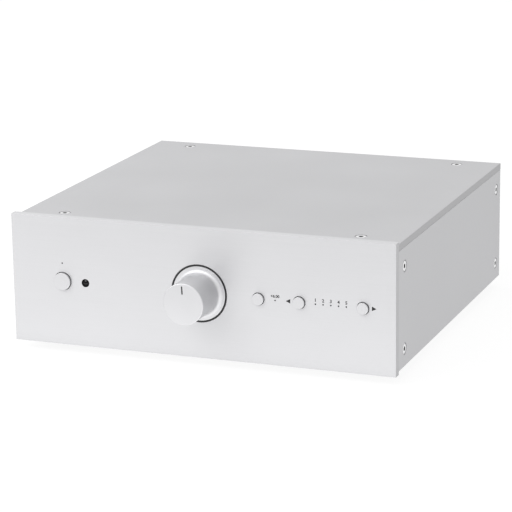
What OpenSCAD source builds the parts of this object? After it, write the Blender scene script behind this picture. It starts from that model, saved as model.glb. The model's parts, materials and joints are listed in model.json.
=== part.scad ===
// Stereo preamplifier in a flat aluminium case, in millimetres.
// The front faces -Y, +Z is up, and the feet stand on z = 0.

/* [Front panel] */
// Width of the front panel
panel_w = 206; // [200:1:230]
// Height of the front panel
panel_h = 67.2; // [64:0.2:84]
// Thickness of the front panel
panel_t = 4.5; // [4.5:0.5:8]
// Chamfer round the panel's front edges
panel_chamfer = 0.05; // [0.05:0.05:1]
// Height of the panel's bottom edge above the table
stand_h = 4.8; // [4:0.2:9]

/* [Case] */
// Depth from the panel's front to the rear face
case_d = 194; // [188:1:260]
// How far the sides stand in from the panel's ends
body_inset = 0.5; // [0.1:0.1:2]
// How far the cover's top lies below the panel's top
body_drop = 1.6; // [0.5:0.1:3]
// How far the case's bottom lies above the panel's bottom
body_rise = 1.2; // [0.5:0.1:3]
// Thickness of the top cover
cover_t = 3.5; // [2.5:0.5:5]
// Chamfer on the cover's and the sides' outer edges
edge_chamfer = 0.3; // [0.1:0.1:0.8]
// Shadow gap between the cover and the side plates
reveal = 0.1; // [0.1:0.1:0.6]
// Thickness of the side plates
side_t = 3; // [2.5:0.5:4]
// Thickness of the base plate
base_t = 2; // [2:0.5:3]
// Thickness of the front subframe's sheet
frame_t = 1.5; // [1:0.5:2]
// Thickness of the rear panel's sheet
rear_t = 2; // [1.5:0.5:3]
// Depth of the folded flanges on the subframe and the rear panel
flange_d = 18; // [17:1:22]
// Gap between sheet parts that slip into each other
slip = 0.1; // [0.05:0.05:0.2]

/* [Case screws] */
// Thread diameter of the screws in the case
screw_d = 3; // [2.5:0.5:3]
// Length of the countersunk case screws
screw_l = 8; // [8:1:10]
// Head diameter of the countersunk screws
csk_d = 5.2; // [5:0.2:6.2]
// Straight rim of a countersunk head
csk_rim = 0.3; // [0.1:0.1:0.4]
// Width across flats of the hex socket in a head
hex_af = 2.2; // [1.5:0.1:2.5]
// Depth of the hex socket in a head
hex_depth = 1.2; // [0.8:0.1:1.4]
// Head diameter of the pan head screws
pan_d = 5.5; // [5:0.1:6]
// Head height of the pan head screws
pan_h = 2; // [1.5:0.1:2.4]
// Width across flats of the hex socket in a pan head
pan_hex_af = 2; // [1.5:0.1:2.5]
// Radial gap between a thread and its tapped hole
thread_gap = 0.02; // [0.01:0.01:0.05]
// Radial gap round a screw in a clearance hole
hole_gap = 0.2; // [0.1:0.05:0.3]
// Radial gap round a countersunk head
head_gap = 0.5; // [0.1:0.05:0.6]
// How far a countersunk head lies below the face
head_sink = 0.1; // [0.05:0.05:0.3]
// Cover screws, in from the case's sides
cover_screw_in = 22.4; // [15:0.1:32]
// Front cover screws, behind the panel's back
cover_screw_front = 11; // [7:0.5:12]
// Rear cover screws, from the rear face
cover_screw_back = 10; // [8:0.5:13]
// Front side screws, behind the panel's back
side_screw_front = 11; // [9:0.5:13]
// Rear side screws, from the rear face
side_screw_back = 8.5; // [7:0.5:13]
// Lower side screws, above the case's bottom
side_screw_low = 9; // [8.5:0.1:11]
// Upper side screws, below the side plate's top
side_screw_high = 9.6; // [8.5:0.1:11]
// Base screws, in from the case's sides
base_screw_in = 42.5; // [36:0.5:56]
// Base screws, from the front and rear ends of the base plate
base_screw_y = 9; // [7:0.5:13]
// Outer diameter of the press nuts
press_nut_d = 6.5; // [5.5:0.1:7]
// Height of the press nuts
press_nut_h = 3; // [2:0.5:4]

/* [Panel screws] */
// Panel screws, in from the case's sides
panel_screw_in = 12.5; // [11.5:0.5:18]
// Panel screws, from the case's bottom and from the cover's underside
panel_screw_z = 7.5; // [7:0.5:9]
// Length of the panel screws
panel_screw_l = 4.8; // [4:0.1:5]
// Depth of the tapped holes in the panel's back
panel_screw_hole = 3.6; // [3.5:0.1:3.9]

/* [Feet] */
// Feet, in from the case's sides
foot_in = 22.5; // [16:0.5:42]
// Front feet, behind the panel's front
foot_front = 32; // [28:1:40]
// Rear feet, from the rear face
foot_back = 26; // [24:1:40]
// Diameter of a foot where it meets the base plate
foot_d = 18; // [15:1:20]
// Diameter of a foot where it stands
foot_tip_d = 16; // [13:1:17]
// Depth of the screw recess in a foot
foot_recess = 3; // [2.5:0.1:3.5]
// Gap round the screw head in a foot's recess
foot_head_gap = 1; // [0.5:0.1:1.5]
// Length of the foot screws
foot_screw_l = 7; // [6:0.5:7.5]

/* [Knob] */
// How far the knob's face stands in front of the panel
knob_out = 21; // [18:0.5:28]
// Diameter of the knob
knob_d = 21.2; // [20:0.2:24]
// Diameter of the knob's foot flange
knob_flange_d = 28; // [27.4:0.2:32]
// Thickness of the foot flange, which lies flush in the panel
knob_flange_t = 1.8; // [1.2:0.1:2]
// Radius of the fillet between knob and flange
knob_fillet = 2.2; // [1:0.1:2.4]
// Chamfer round the knob's face
knob_chamfer = 0.3; // [0.2:0.1:1]
// Depth of the bore that takes the shaft
knob_bore_l = 15; // [12:0.5:16]
// Width of the pointer groove
pointer_w = 0.7; // [0.5:0.1:1.2]
// Length of the pointer groove
pointer_l = 4.1; // [3:0.1:6]
// Distance of the pointer groove from the knob's rim
pointer_edge = 1.4; // [1:0.1:3]
// Depth of the pointer groove
pointer_depth = 0.3; // [0.1:0.1:0.5]
// Turn of the pointer groove to the right of the top, with the knob at rest
pointer_turn = -3; // [-30:0.5:30]
// Distance of the grub screw in front of the panel
grub_y = 7; // [5:0.5:9]
// Length of the grub screw
grub_l = 6; // [4:0.5:6.5]
// Width across flats of the grub screw's hex socket
grub_hex_af = 1.5; // [1.2:0.1:1.6]
// Width of the dark trim ring round the knob
ring_w = 0.75; // [0.4:0.05:1]
// Gap between the knob's flange and the trim ring
ring_gap = 0.3; // [0.2:0.05:0.5]
// Depth of the recess that holds the trim ring
recess_depth = 3; // [2.5:0.1:3.5]
// How far the trim ring lies below the panel's face
ring_sink = 0.2; // [0.1:0.1:0.5]

/* [Volume control] */
// Diameter of the volume shaft
shaft_d = 6; // [5:0.5:6.5]
// Radial running clearance of the shafts
run_gap = 0.04; // [0.02:0.01:0.08]
// Radial gap of pieces pushed onto a shaft
push_gap = 0.02; // [0.01:0.01:0.03]
// Gap at the blind end of a shaft
end_gap = 0.5; // [0.3:0.1:1]
// Wall left behind the shaft in the potentiometer
pot_wall = 1; // [0.8:0.1:2]
// Wall of the threaded bush
bush_wall = 1.2; // [1:0.1:1.5]
// Thickness of the bush's inner flange
bush_flange_t = 1; // [0.8:0.1:1.5]
// How far the bush's inner flange stands past its thread
bush_lip = 2; // [1.5:0.1:2.5]
// How far the bush's thread stands out of its nut
bush_lead = 0.3; // [0.2:0.1:0.5]
// Thickness of the bush washer
washer_t = 0.5; // [0.3:0.1:0.8]
// Thickness of the bush nut
nut_t = 1.6; // [1.4:0.1:2]
// Width across flats of the bush nut
nut_af = 11; // [11:0.5:12]
// Gap round the bush nut in the panel
nut_gap = 0.8; // [0.5:0.1:1.2]
// Relief in the knob's back round the bush
knob_relief = 1; // [0.6:0.1:1.5]
// Module of the drive gears
gear_m = 0.5; // [0.45:0.05:0.55]
// Teeth on the clutch gear
clutch_n = 48; // [44:4:52]
// Teeth on the reduction gear's large wheel
wheel_n = 36; // [32:4:40]
// Teeth on both pinions
pinion_n = 12; // [12:2:14]
// Pressure angle of the teeth
gear_pa = 25; // [24:1:26]
// Width of each gear
gear_w = 3; // [2:0.5:4]
// Play between gears, and between gears and walls
gear_play = 0.6; // [0.4:0.1:1]
// Thinning of each tooth flank for backlash
backlash = 0.05; // [0.03:0.01:0.08]
// Wall of the gearbox
gearbox_wall = 1.5; // [1.2:0.1:2]
// Diameter of the gearbox screws
gearbox_screw_d = 2; // [1.5:0.5:2]
// Width across flats of the gearbox screws' hex sockets
gearbox_hex_af = 1.3; // [1:0.1:1.5]
// Head diameter of the gearbox screws
gearbox_head_d = 3.8; // [3.4:0.1:4]
// Head height of the gearbox screws
gearbox_head_h = 1.2; // [1:0.1:1.5]
// How deep the gearbox screws reach into the gearbox
gearbox_screw_grip = 6; // [4:0.5:7]
// Wall of the bosses round the gearbox screws
boss_wall = 1.2; // [1:0.1:1.5]
// Diameter of the reduction gear's axle
axle_d = 2; // [1.5:0.5:2]
// Width and height of the potentiometer body
pot_w = 26; // [22:1:28]
// Length of the potentiometer body and of the motor
pot_l = 26; // [22:1:30]
// Diameter of the motor
motor_d = 18; // [16:1:19]
// Length of the motor shaft inside the motor
motor_shaft_in = 8; // [5:1:12]

/* [Buttons] */
// Power button, from the panel's left end
power_edge = 27.9; // [23:0.1:29]
// Hole of the power button
power_hole_d = 9.7; // [8:0.1:11]
// Gain button, to the left of the input selector's middle
gain_offset = 37.95; // [36:0.05:40]
// Hole of a small button
small_hole_d = 6.6; // [6:0.1:8]
// Middle of the input selector, from the panel's right end
input_edge = 33.4; // [33:0.05:36]
// Selector buttons, from the selector's middle
input_button_x = 16.5; // [15:0.1:17]
// How far the buttons stand in front of the panel
button_out = 1.4; // [0.8:0.1:2]
// Radial gap between a button and its hole
button_gap = 0.3; // [0.2:0.05:0.4]
// Chamfer round a button's face
button_chamfer = 0.15; // [0.1:0.05:0.5]
// Travel of a button
button_travel = 0.5; // [0.3:0.1:0.8]
// How much wider a button's collar is than its hole
collar_lip = 1; // [0.6:0.1:1.4]
// Thickness of a button's collar
collar_t = 0.9; // [0.6:0.1:1.2]
// Diameter of a button's stem
stem_d = 4; // [3.5:0.1:4.5]
// Diameter of the stem's tip inside the switch
tip_d = 3.4; // [2.5:0.1:3.4]
// Radial gap round the tip in the switch
tip_gap = 0.2; // [0.1:0.05:0.3]
// Width of a push switch
switch_w = 6; // [5.5:0.5:7]
// Height of a push switch
switch_h = 3.5; // [3:0.5:4]

/* [Lights and remote window] */
// Diameter of the light guides' prongs
prong_d = 0.7; // [0.5:0.1:1.4]
// Radial gap round the prongs
prong_gap = 0.05; // [0.03:0.01:0.1]
// Diameter of the light guides' rods behind the panel
rod_d = 2.4; // [2:0.1:2.8]
// Thickness of the bar that joins the input light guide's rods
guide_bar_t = 2; // [1.5:0.1:2.5]
// Gap between that bar and the subframe
guide_bar_gap = 1; // [0.5:0.1:1.5]
// How far the prongs lie below the panel's face
prong_sink = 0.1; // [0.05:0.05:0.3]
// Height of the power light above the power button
power_light_z = 9.5; // [8.5:0.1:10]
// Gain light to the right of the gain button
gain_light_x = 8.9; // [8:0.1:10]
// Number of inputs
input_n = 5; // [3:1:5]
// Spacing of the input lights
input_pitch = 4; // [3.4:0.1:4.2]
// Diameter of the diodes
diode_d = 3; // [2.5:0.1:3.2]
// Height of the diodes
diode_h = 3; // [2.5:0.1:3.2]
// Remote window, to the right of the power button
window_offset = 12.7; // [12:0.1:15]
// Diameter of the remote window
window_d = 4.2; // [3.5:0.1:5.5]
// Radial gap round the remote window
window_gap = 0.05; // [0.03:0.01:0.1]
// How far the remote window lies below the panel's face
window_sink = 0.3; // [0.1:0.1:0.6]
// How far the remote window's flange stands past its hole
window_lip = 1; // [0.6:0.1:1.4]
// Width and height of the remote receiver
receiver_w = 6; // [5:0.5:7]
// Depth of the remote receiver's body
receiver_d = 5; // [4:0.5:6]

/* [Boards] */
// Thickness of the circuit boards
board_t = 1.6; // [1.2:0.1:2]
// Distance of the control boards behind the subframe
control_gap = 9.5; // [8.5:0.5:12]
// Height of the control boards
control_h = 30; // [28:1:32]
// Margin of the control boards past the outer controls
control_edge = 10; // [9.5:0.1:10.5]
// Margin of the selector board past the gain button
gain_margin = 6.5; // [5.5:0.5:8]
// Height of the main board above the base plate
main_gap = 8; // [7:0.5:12]
// Front edge of the main board, behind the panel's front
main_front = 58; // [56:1:66]
// Gap between the main board and the rear panel
main_back = 3; // [2:0.5:5]
// Gap between the main board and each side plate
main_side = 11; // [9:0.5:14]
// Width across flats of the standoffs
standoff_af = 5.5; // [5:0.1:6]
// Diameter of the standoffs' spigots in the sheet
spigot_d = 4.2; // [4:0.1:4.8]
// Distance of the standoffs from a board's edges
standoff_edge = 5; // [4:0.5:5]
// Length of the board screws
board_screw_l = 6; // [5:0.5:7]
// Width of the ribbon cables
ribbon_w = 14; // [10:1:18]
// Thickness of the ribbon cables
ribbon_t = 1; // [0.8:0.1:1.2]
// Inner radius of the ribbons' bend
ribbon_r = 4; // [3:0.5:5]
// Height and thickness of the ribbon headers
header_h = 8; // [6:0.5:9]
// How much longer a header is than its ribbon is wide
header_lip = 5; // [3:0.5:6]
// Length of the relays
relay_l = 20; // [16:1:22]
// Width of the relays
relay_w = 10; // [8:0.5:11]
// Height of the relays
relay_h = 11; // [9:0.5:14]
// Gap between the parts on the main board
part_gap = 4; // [3:0.5:4.5]
// Diameter of the smoothing capacitors
cap_d = 16; // [12:0.5:16]
// Height of the smoothing capacitors
cap_h = 25; // [20:1:32]
// Spacing of the smoothing capacitors
cap_pitch = 20; // [18:0.5:20]
// Height of the heat sink
sink_h = 25; // [20:1:32]
// Width of the heat sink
sink_w = 38; // [36:1:44]
// Depth of the heat sink with its fins
sink_d = 10; // [8:0.5:14]
// Thickness of the heat sink's wall
sink_wall = 3; // [2:0.5:4]
// Thickness of a fin
fin_t = 1.5; // [1:0.1:2]
// Number of fins
fin_n = 8; // [5:1:10]
// Width, thickness and height of a voltage regulator
regulator = [10, 4.5, 15];
// Length, width and height of an amplifier chip
chip = [10, 6.5, 4];
// Length, width and height of the control chip
control_chip = [16, 16, 2];

/* [Rear sockets] */
// Spacing of the socket columns
socket_pitch = 20; // [17:0.5:20]
// First socket column from the centre line
socket_x = -28; // [-30:0.5:-26]
// Spacing of the two sockets in a column
socket_rise = 20; // [18:0.5:22]
// Height of the lower sockets above the main board
socket_low = 10; // [8.5:0.5:12]
// How far the sockets stand out of the rear face
socket_out = 9; // [8:0.5:12]
// Outer diameter of a socket's shell
shell_d = 8.3; // [8:0.1:8.5]
// Wall of a socket's shell
shell_wall = 0.65; // [0.5:0.05:0.8]
// Diameter of the socket's contact hole
contact_d = 3.4; // [3.2:0.1:3.6]
// Depth of the contact hole
contact_l = 7; // [6:0.5:7.5]
// How far the inserts lie inside the shells' ends
insert_sink = 0.5; // [0.2:0.1:1]
// Width of a socket housing
housing_w = 15; // [13:0.5:15.5]
// Depth of a socket housing
housing_d = 12; // [10:0.5:14]
// How far a socket's collar stands out of the rear face
socket_collar = 0.8; // [0.4:0.1:1.2]
// Wall of a socket's collar
socket_collar_wall = 0.9; // [0.6:0.1:1.2]
// How deep the shells sit in their housings
shell_seat = 6; // [4:0.5:8]
// Length of the socket screws
socket_screw_l = 8; // [6:0.5:9]
// Power inlet, in from the case's left side
inlet_in = 26.5; // [22:0.5:28]
// Trigger jack, to the right of the power inlet
trigger_offset = 24; // [18:1:26]
// Width of the inlet's and the jack's bodies
jack_w = 10; // [9:0.5:12]
// Height of the inlet's and the jack's bodies
jack_h = 12; // [11:0.5:14]
// Depth of the inlet's and the jack's bodies
jack_d = 14; // [12:0.5:16]
// How far their noses stand out of the rear face
nose_out = 1; // [0.5:0.5:3]
// Diameter of their noses
nose_d = 8; // [7.4:0.2:8.6]
// Bore of the power inlet
inlet_bore_d = 5.8; // [5.6:0.1:6]
// Diameter of the power inlet's pin
inlet_pin_d = 2.1; // [1.9:0.1:2.5]
// Depth of the power inlet's bore
inlet_depth = 10; // [9:0.5:11]
// How deep the inlet's pin is rooted
inlet_pin_root = 2; // [1.5:0.5:3]
// How far the inlet's pin lies inside its mouth
inlet_pin_sink = 1; // [0.5:0.5:2]
// Bore of the trigger jack
trigger_bore_d = 3.6; // [3.5:0.1:3.7]
// Depth of the trigger jack's bore
trigger_depth = 13; // [12:0.5:14]

/* [Hidden] */
$fn = 72;
eps = 0.01;

// Colours
silver = [0.84, 0.84, 0.84];
satin = [0.78, 0.78, 0.79];
steel = [0.6, 0.61, 0.63];
zinc = [0.72, 0.72, 0.7];
brass = [0.78, 0.64, 0.34];
gold = [0.85, 0.7, 0.35];
black = [0.09, 0.09, 0.1];
nylon = [0.9, 0.89, 0.84];
board_green = [0.1, 0.32, 0.2];
ribbon_grey = [0.62, 0.63, 0.65];
clear = [0.82, 0.84, 0.86];
smoked = [0.1, 0.06, 0.07];
red = [0.72, 0.12, 0.1];
blue = [0.12, 0.17, 0.36];

// The whole part is centred on y = 0, between the knob's face and the sockets' ends
panel_y = knob_out - (knob_out + case_d + socket_out) / 2;

// The rest is measured from the middle of the panel's front bottom edge
body_w = panel_w - 2 * body_inset;
body_hi = panel_h - body_drop;
cover_lo = body_hi - cover_t;
side_hi = cover_lo - reveal;
side_in = body_w / 2 - side_t;
tray_x = side_in - slip;
base_hi = body_rise + base_t;
rear_in = case_d - rear_t;
mid_z = panel_h / 2;

// Controls across the panel
power_x = power_edge - panel_w / 2;
window_x = power_x + window_offset;
input_x = panel_w / 2 - input_edge;
gain_x = input_x - gain_offset;

// Screws
screw_r = screw_d / 2;
tap_r = screw_r + thread_gap;
clear_r = screw_r + hole_gap;
csk_h = csk_rim + (csk_d - screw_d) / 2;
cover_screw_x = body_w / 2 - cover_screw_in;
base_screw_x = body_w / 2 - base_screw_in;
panel_screw_x = body_w / 2 - panel_screw_in;
foot_x = body_w / 2 - foot_in;
panel_screw_zs = [body_rise + panel_screw_z, cover_lo - panel_screw_z];
cover_screw_ys = [panel_t + cover_screw_front, case_d - cover_screw_back];
side_screw_ys = [panel_t + side_screw_front, case_d - side_screw_back];
side_screw_zs = [body_rise + side_screw_low, side_hi - side_screw_high];
base_screw_ys = [panel_t + base_screw_y, case_d - base_screw_y];
sheet_ts = [frame_t, rear_t];
foot_ys = [foot_front, case_d - foot_back];

// Depths behind the panel's front
web_back = panel_t + frame_t;
control_y = web_back + control_gap;
control_back = control_y + board_t;

// Knob and shaft
knob_r = knob_d / 2;
knob_flange_r = knob_flange_d / 2;
ring_in = knob_flange_r + ring_gap;
recess_r = ring_in + ring_w;
shaft_r = shaft_d / 2;
bush_r = shaft_r + run_gap + bush_wall;
nut_front = panel_t - washer_t - nut_t;
bush_front = nut_front - bush_lead;
nut_r = nut_af / 2 / cos(30);
nut_room = nut_r + nut_gap;
pocket_front = bush_front - knob_relief;
pocket_r = bush_r + knob_relief;

// Gear train, from the shaft towards -X
clutch_r = gear_m * clutch_n / 2;
wheel_r = gear_m * wheel_n / 2;
pinion_r = gear_m * pinion_n / 2;
axle_x = -(clutch_r + pinion_r);
motor_x = axle_x - (wheel_r + pinion_r);
axle_r = axle_d / 2;
gear_tip = 0.9 * gear_m;
gear_root = 1.25 * gear_m;
half_pitch = 180 / pinion_n;
case_in = web_back + gearbox_wall;
clutch_y = case_in + bush_flange_t + gear_play;
wheel_y = clutch_y + gear_w + gear_play;
lid_y = wheel_y + gear_w + gear_play;
lid_back = lid_y + gearbox_wall;
pot_back = lid_back + pot_l;
gearbox_hz = max(clutch_r + gear_tip, motor_d / 2) + gear_play + gearbox_wall;
gearbox_x1 = clutch_r + gear_tip + gear_play + gearbox_wall;
gearbox_x0 = motor_x - motor_d / 2;
gearbox_screw_r = gearbox_screw_d / 2;
boss_r = gearbox_screw_r + boss_wall;
gearbox_screw_xs = [gearbox_x0 + boss_r, gearbox_x1 - boss_r];
gearbox_screw_zs = [-gearbox_hz + boss_r, gearbox_hz - boss_r];
gearbox_head_r = gearbox_head_d / 2;

// Buttons and lights
small_r = small_hole_d / 2;
buttons = [
    [power_x, power_hole_d / 2],
    [gain_x, small_r],
    [input_x - input_button_x, small_r],
    [input_x + input_button_x, small_r]
];
collar_front = panel_t + slip;
switch_y = control_y - switch_h;
diode_y = control_y - diode_h;
input_light_xs = [for (i = [0 : input_n - 1]) input_x + (i - (input_n - 1) / 2) * input_pitch];
status_lights = [[power_x, mid_z + power_light_z], [gain_x + gain_light_x, mid_z]];
input_lights = [for (x = input_light_xs) [x, mid_z]];
rod_r = rod_d / 2;
rod_hole_r = rod_r + hole_gap;
guide_bar_y = web_back + guide_bar_gap;
window_r = window_d / 2;
receiver_y = control_y - receiver_d;

// Boards
power_board_x = [power_x - control_edge, window_x + control_edge];
selector_board_x = [gain_x - gain_margin, input_x + input_button_x + control_edge];
control_z = [mid_z - control_h / 2, mid_z + control_h / 2];
main_lo = base_hi + main_gap;
main_hi = main_lo + board_t;
main_x = side_in - main_side;
main_y1 = rear_in - main_back;
spigot_r = spigot_d / 2;
main_standoff_xs = [-main_x + standoff_edge, 0, main_x - standoff_edge];
relay_y = rear_in - max(housing_d, jack_d) - part_gap - relay_l;
main_standoff_ys = [main_front + standoff_edge, relay_y - standoff_edge];
control_standoff_spots = [
    for (span = [power_board_x, selector_board_x], x = [span[0] + standoff_edge, span[1] - standoff_edge],
        z = [control_z[0] + standoff_edge, control_z[1] - standoff_edge]) [x, z]
];
main_standoff_spots = [for (x = main_standoff_xs, y = main_standoff_ys) [x, y]];
header_y = main_standoff_ys[0] + pan_d / 2 + part_gap + header_h / 2;
header_w = ribbon_w + header_lip;
power_ribbon_x = (power_board_x[0] + power_board_x[1]) / 2;
selector_ribbon_x = (selector_board_x[0] + selector_board_x[1]) / 2;
ribbons = [
    [power_ribbon_x, control_back],
    [0, pot_back + board_t],
    [selector_ribbon_x, control_back]
];
sink_y = header_y + header_h / 2 + part_gap + regulator[1];
caps_y = sink_y + sink_d + part_gap + cap_d / 2;
parts_x = main_x - 2 * standoff_edge - part_gap;
caps_x = (cap_pitch + cap_d) / 2 - parts_x;
chip_xs = [for (i = [0 : 2]) parts_x - chip[0] / 2 - i * cap_pitch];

// Rear sockets
socket_n = input_n + 1;
socket_xs = [for (i = [0 : socket_n - 1]) socket_x + i * socket_pitch];
socket_zs = [main_hi + socket_low, main_hi + socket_low + socket_rise];
shell_r = shell_d / 2;
shell_front = rear_in - shell_seat;
shell_end = case_d + socket_out;
insert_r = shell_r - shell_wall - push_gap;
insert_end = shell_end - insert_sink;
housing_y = rear_in - housing_d;
housing_hi = socket_zs[1] + housing_w / 2;
collar_r = shell_r + push_gap + socket_collar_wall;
socket_screw_z = (socket_zs[0] + socket_zs[1]) / 2;
inlet_cx = inlet_in - body_w / 2;
trigger_cx = inlet_cx + trigger_offset;
jack_z = main_hi + jack_h / 2;
jack_y = rear_in - jack_d;
nose_end = case_d + nose_out;
nose_r = nose_d / 2;
inlet_floor = nose_end - inlet_depth;

// Moves what is measured from the panel into the part's own frame
module from_panel() {
    translate([0, panel_y, stand_h]) children();
}

// A block between two corners
module block(lo, hi) {
    translate(lo) cube(hi - lo);
}

// A round bar along the depth, from y0 to y1
module rod_y(r, y0, y1, x = 0, z = 0) {
    translate([x, y0, z]) rotate([-90, 0, 0]) cylinder(r = r, h = y1 - y0);
}

// A tube along the depth
module tube_y(r_out, r_in, y0, y1, x = 0, z = 0) {
    difference() {
        rod_y(r_out, y0, y1, x, z);
        rod_y(r_in, y0 - 1, y1 + 1, x, z);
    }
}

// Countersunk hex-socket screw, its flat face at z = 0 and its thread below
module csk_screw() {
    difference() {
        union() {
            translate([0, 0, -csk_rim]) cylinder(d = csk_d, h = csk_rim);
            translate([0, 0, -csk_h]) cylinder(r1 = screw_r, r2 = csk_d / 2, h = csk_h - csk_rim);
            translate([0, 0, -screw_l]) cylinder(r = screw_r, h = screw_l - csk_h + eps);
        }
        translate([0, 0, -hex_depth]) cylinder(d = hex_af / cos(30), h = hex_depth + 1, $fn = 6);
    }
}

// The hole for a countersunk screw through a plate whose face is at z = 0
module csk_hole() {
    r = csk_d / 2 + head_gap;
    translate([0, 0, -csk_rim - head_sink]) cylinder(r = r, h = csk_rim + head_sink + 1);
    translate([0, 0, -csk_h - head_sink])
        cylinder(r1 = clear_r, r2 = r, h = csk_h - csk_rim + eps);
    translate([0, 0, -screw_l]) cylinder(r = clear_r, h = screw_l);
}

// Pan head hex-socket screw, seated at z = 0 with its thread below
module pan_screw(l, r = screw_r, head_r = pan_d / 2, head_h = pan_h, af = pan_hex_af) {
    difference() {
        union() {
            cylinder(r = head_r, h = head_h);
            translate([0, 0, -l]) cylinder(r = r, h = l + eps);
        }
        translate([0, 0, head_h / 2]) cylinder(d = af / cos(30), h = head_h, $fn = 6);
    }
}

// Press nut, standing on z = 0
module press_nut() {
    difference() {
        cylinder(d = press_nut_d, h = press_nut_h);
        translate([0, 0, -1]) cylinder(r = tap_r, h = press_nut_h + 2);
    }
}

// Each of these puts its children's z = 0 on a plate's face, where the case is screwed together
module at_cover_screws(depth = 0, sheet = [0, 0]) {
    for (sx = [-1, 1], i = [0, 1])
        translate([sx * cover_screw_x, cover_screw_ys[i], body_hi - depth - sheet[i]]) children();
}

module at_side_screws(side, depth = 0, sheet = [0, 0]) {
    for (i = [0, 1], z = side_screw_zs)
        translate([side * (body_w / 2 - depth - sheet[i]), side_screw_ys[i], z])
            rotate([0, side * 90, 0]) children();
}

module at_base_screws(depth = 0, sheet = [0, 0]) {
    for (sx = [-1, 1], i = [0, 1])
        translate([sx * base_screw_x, base_screw_ys[i], body_rise + depth + sheet[i]])
            rotate([180, 0, 0]) children();
}

module at_case_screws() {
    at_cover_screws() children();
    at_base_screws() children();
    for (side = [-1, 1]) at_side_screws(side) children();
}

module at_panel_screws() {
    for (sx = [-1, 1], z = panel_screw_zs)
        translate([sx * panel_screw_x, web_back, z]) rotate([-90, 0, 0]) children();
}

module at_feet() {
    for (sx = [-1, 1], y = foot_ys) translate([sx * foot_x, y, 0]) children();
}

// Section of a plate from v0 to v1, with both its corners at v0 cut by c
module chamfered_section(half_u, v0, v1, c) {
    polygon([
        [-half_u + c, v0], [half_u - c, v0], [half_u, v0 + c],
        [half_u, v1], [-half_u, v1], [-half_u, v0 + c]
    ]);
}

// Holes through the panel and the subframe for the controls
module control_holes(y0, y1, extra_button, rod, window) {
    for (b = buttons) rod_y(b[1] + extra_button, y0, y1, b[0], mid_z);
    for (p = concat(status_lights, input_lights)) rod_y(rod, y0, y1, p[0], p[1]);
    rod_y(window, y0, y1, window_x, mid_z);
}

module front_panel() {
    color(silver) from_panel() difference() {
        intersection() {
            linear_extrude(panel_h) chamfered_section(panel_w / 2, 0, panel_t, panel_chamfer);
            translate([-panel_w / 2, 0, mid_z]) rotate([90, 0, 90])
                linear_extrude(panel_w) rotate(-90) chamfered_section(mid_z, 0, panel_t, panel_chamfer);
        }
        rod_y(recess_r, -1, recess_depth, 0, mid_z);
        rod_y(nut_room, 0, panel_t + 1, 0, mid_z);
        control_holes(-1, panel_t + 1, 0, prong_d / 2 + prong_gap, window_r + window_gap);
        at_panel_screws() translate([0, 0, -frame_t - panel_screw_hole])
            cylinder(r = tap_r, h = panel_screw_hole + frame_t);
    }
}

module top_cover() {
    color(satin) from_panel() difference() {
        intersection() {
            translate([0, panel_t, 0]) rotate([-90, 0, 0]) linear_extrude(case_d - panel_t)
                chamfered_section(body_w / 2, -body_hi, -cover_lo, edge_chamfer);
            translate([-body_w / 2, 0, 0]) rotate([90, 0, 90]) linear_extrude(body_w) polygon([
                [panel_t, cover_lo], [case_d, cover_lo], [case_d, body_hi - edge_chamfer],
                [case_d - edge_chamfer, body_hi], [panel_t, body_hi]
            ]);
        }
        at_cover_screws() csk_hole();
    }
}

module side_plate(side) {
    difference() {
        translate([0, 0, body_rise]) linear_extrude(side_hi - body_rise) polygon([
            [side * side_in, panel_t], [side * body_w / 2, panel_t],
            [side * body_w / 2, case_d - edge_chamfer],
            [side * (body_w / 2 - edge_chamfer), case_d], [side * side_in, case_d]
        ]);
        at_side_screws(side) csk_hole();
    }
}

module left_side_plate() {
    color(satin) from_panel() side_plate(-1);
}

module right_side_plate() {
    color(satin) from_panel() side_plate(1);
}

module base_plate() {
    color(satin) from_panel() difference() {
        block([-tray_x, panel_t, body_rise], [tray_x, case_d, base_hi]);
        at_base_screws() csk_hole();
        at_feet() cylinder(r = tap_r, h = base_hi + 1);
        for (p = main_standoff_spots) translate([p[0], p[1], 0])
            cylinder(r = spigot_r + push_gap, h = base_hi + 1);
    }
}

// A folded sheet tray: a web with flanges on four sides, open away from the web
module tray(y0, y1, web0, web1, t) {
    difference() {
        block([-tray_x, y0, base_hi], [tray_x, y1, cover_lo]);
        block([-tray_x + t, web0, base_hi + t], [tray_x - t, web1, cover_lo - t]);
    }
}

module tray_screw_holes() {
    at_case_screws() translate([0, 0, -screw_l]) cylinder(r = clear_r, h = screw_l);
}

module front_subframe() {
    color(steel) from_panel() difference() {
        tray(panel_t, panel_t + flange_d, web_back, panel_t + flange_d + 1, frame_t);
        tray_screw_holes();
        control_holes(panel_t - 1, web_back + 1, collar_lip + hole_gap, rod_hole_r,
            window_r + window_lip + hole_gap);
        rod_y(bush_r + hole_gap, panel_t - 1, web_back + 1, 0, mid_z);
        at_panel_screws() translate([0, 0, -frame_t - 1]) cylinder(r = clear_r, h = frame_t + 2);
        for (p = control_standoff_spots) rod_y(spigot_r + push_gap, panel_t - 1, web_back + 1, p[0], p[1]);
    }
}

module rear_panel() {
    color(satin) from_panel() difference() {
        tray(case_d - flange_d, case_d, case_d - flange_d - 1, rear_in, rear_t);
        tray_screw_holes();
        for (x = socket_xs) {
            for (z = socket_zs) rod_y(collar_r + hole_gap, rear_in - 1, case_d + 1, x, z);
            rod_y(clear_r, rear_in - 1, case_d + 1, x, socket_screw_z);
        }
        for (x = [inlet_cx, trigger_cx]) rod_y(nose_r + hole_gap, rear_in - 1, case_d + 1, x, jack_z);
    }
}

module press_nuts() {
    color(zinc) from_panel() {
        at_cover_screws(cover_t + press_nut_h, sheet_ts) press_nut();
        at_base_screws(base_t + press_nut_h, sheet_ts) press_nut();
        for (side = [-1, 1]) at_side_screws(side, side_t + slip + press_nut_h, sheet_ts) press_nut();
    }
}

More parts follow.
